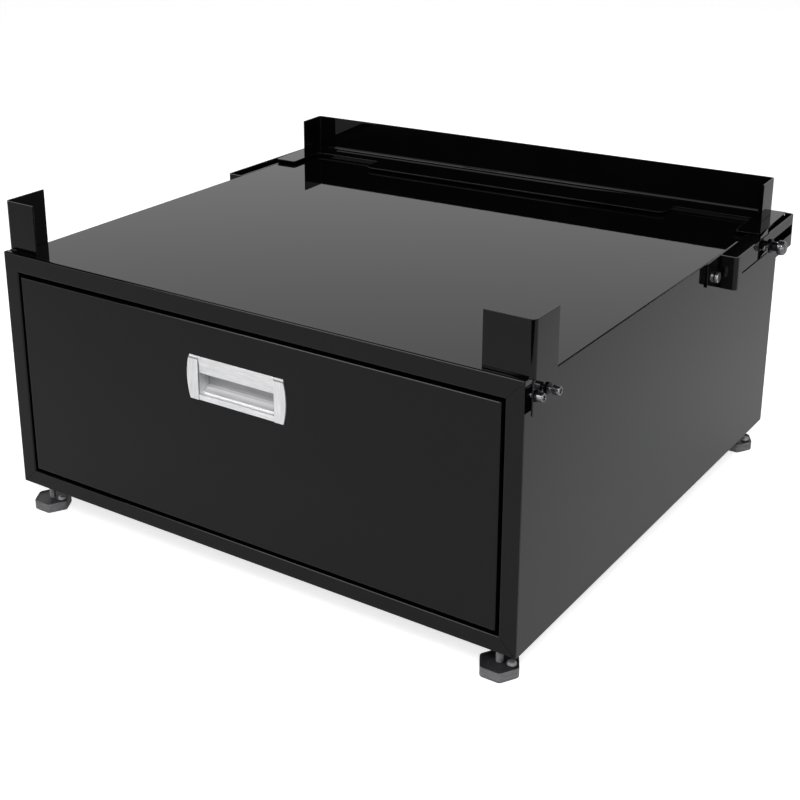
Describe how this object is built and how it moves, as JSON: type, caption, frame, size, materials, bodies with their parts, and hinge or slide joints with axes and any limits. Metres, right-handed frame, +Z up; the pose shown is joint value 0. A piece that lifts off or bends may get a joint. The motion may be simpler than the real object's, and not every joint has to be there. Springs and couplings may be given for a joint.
{
  "type": "washer pedestal drawer",
  "caption": "Low black steel cabinet with a full-width drawer, on which a front-loading washer stands between corner brackets and a sliding rear rail.",
  "frame": {"origin": "on the floor, under the middle of the part's bounding box", "axes": "+X to the right as seen from the drawer's side, +Y to the back, +Z up"},
  "size_m": [0.774, 0.6774, 0.387],
  "materials": {
    "gloss_black_steel": "gloss black powder coat",
    "satin_black_steel": "gloss black powder coat",
    "zinc_plated_steel": "bright zinc plating",
    "dark_plated_washer": "dark plating",
    "brushed_aluminium": "brushed and clear anodised",
    "dark_plastic": "matt dark grey"
  },
  "bodies": {
    "cabinet": {"side_panel_left": "gloss_black_steel", "side_panel_right": "gloss_black_steel", "top_panel": "gloss_black_steel", "rear_panel": "gloss_black_steel", "base_pan": "satin_black_steel", "frame_top_rail": "satin_black_steel", "frame_bottom_rail": "satin_black_steel", "frame_stile_left": "satin_black_steel", "frame_stile_right": "satin_black_steel", "top_brace_front": "satin_black_steel", "top_brace_rear": "satin_black_steel", "slide_outer_left": "zinc_plated_steel", "slide_spacer_left": "zinc_plated_steel", "arm_left": "gloss_black_steel", "arm_bolt_left": "zinc_plated_steel", "bracket_bolt_left_front": "zinc_plated_steel", "bracket_washer_left_front": "dark_plated_washer", "bracket_bolt_left_rear": "zinc_plated_steel", "bracket_washer_left_rear": "dark_plated_washer", "slide_outer_right": "zinc_plated_steel", "slide_spacer_right": "zinc_plated_steel", "arm_right": "gloss_black_steel", "arm_bolt_right": "zinc_plated_steel", "bracket_bolt_right_front": "zinc_plated_steel", "bracket_washer_right_front": "dark_plated_washer", "bracket_bolt_right_rear": "zinc_plated_steel", "bracket_washer_right_rear": "dark_plated_washer"},
    "drawer": {"drawer_front": "satin_black_steel", "drawer_front_liner": "satin_black_steel", "drawer_back": "satin_black_steel", "drawer_bottom": "satin_black_steel", "pull_tray": "brushed_aluminium", "drawer_side_left": "satin_black_steel", "slide_inner_left": "zinc_plated_steel", "pull_cap_left": "brushed_aluminium", "pull_screw_left": "zinc_plated_steel", "drawer_side_right": "satin_black_steel", "slide_inner_right": "zinc_plated_steel", "pull_cap_right": "brushed_aluminium", "pull_screw_right": "zinc_plated_steel"},
    "middle_slides": {"slide_middle_left": "zinc_plated_steel", "slide_middle_right": "zinc_plated_steel"},
    "rear_rail": {"rear_rail": "gloss_black_steel", "rail_bolt_left": "zinc_plated_steel", "rail_washer_left": "dark_plated_washer", "rail_nut_left": "zinc_plated_steel", "rail_bolt_right": "zinc_plated_steel", "rail_washer_right": "dark_plated_washer", "rail_nut_right": "zinc_plated_steel"},
    "corner_bracket_left": {"corner_bracket_left": "gloss_black_steel"},
    "corner_bracket_right": {"corner_bracket_right": "gloss_black_steel"},
    "foot_front_left": {"foot_pad_front_left": "dark_plastic", "foot_stud_front_left": "zinc_plated_steel"},
    "foot_front_right": {"foot_pad_front_right": "dark_plastic", "foot_stud_front_right": "zinc_plated_steel"},
    "foot_rear_left": {"foot_pad_rear_left": "dark_plastic", "foot_stud_rear_left": "zinc_plated_steel"},
    "foot_rear_right": {"foot_pad_rear_right": "dark_plastic", "foot_stud_rear_right": "zinc_plated_steel"}
  },
  "joints": [
    {"name": "drawer_slide", "type": "slide", "parent": "cabinet", "child": "drawer", "axis": [0, -1, 0], "range_m": [0, 0.5]},
    {"name": "middle_slide", "type": "slide", "parent": "cabinet", "child": "middle_slides", "axis": [0, -1, 0], "range_m": [0, 0.25]},
    {"name": "rail_slide", "type": "slide", "parent": "cabinet", "child": "rear_rail", "axis": [0, 1, 0], "range_m": [-0.025, 0.012]},
    {"name": "corner_bracket_left_slide", "type": "slide", "parent": "cabinet", "child": "corner_bracket_left", "axis": [-1, 0, 0], "range_m": [0, 0.0027]},
    {"name": "corner_bracket_right_slide", "type": "slide", "parent": "cabinet", "child": "corner_bracket_right", "axis": [-1, 0, 0], "range_m": [0, 0.0027]},
    {"name": "foot_front_left_screw", "type": "slide", "parent": "cabinet", "child": "foot_front_left", "axis": [0, 0, -1], "range_m": [0, 0.012]},
    {"name": "foot_front_right_screw", "type": "slide", "parent": "cabinet", "child": "foot_front_right", "axis": [0, 0, -1], "range_m": [0, 0.012]},
    {"name": "foot_rear_left_screw", "type": "slide", "parent": "cabinet", "child": "foot_rear_left", "axis": [0, 0, -1], "range_m": [0, 0.012]},
    {"name": "foot_rear_right_screw", "type": "slide", "parent": "cabinet", "child": "foot_rear_right", "axis": [0, 0, -1], "range_m": [0, 0.012]}
  ],
  "couplings": [
    {"joint": "middle_slide", "follows": "drawer_slide", "ratio": 0.5}
  ]
}
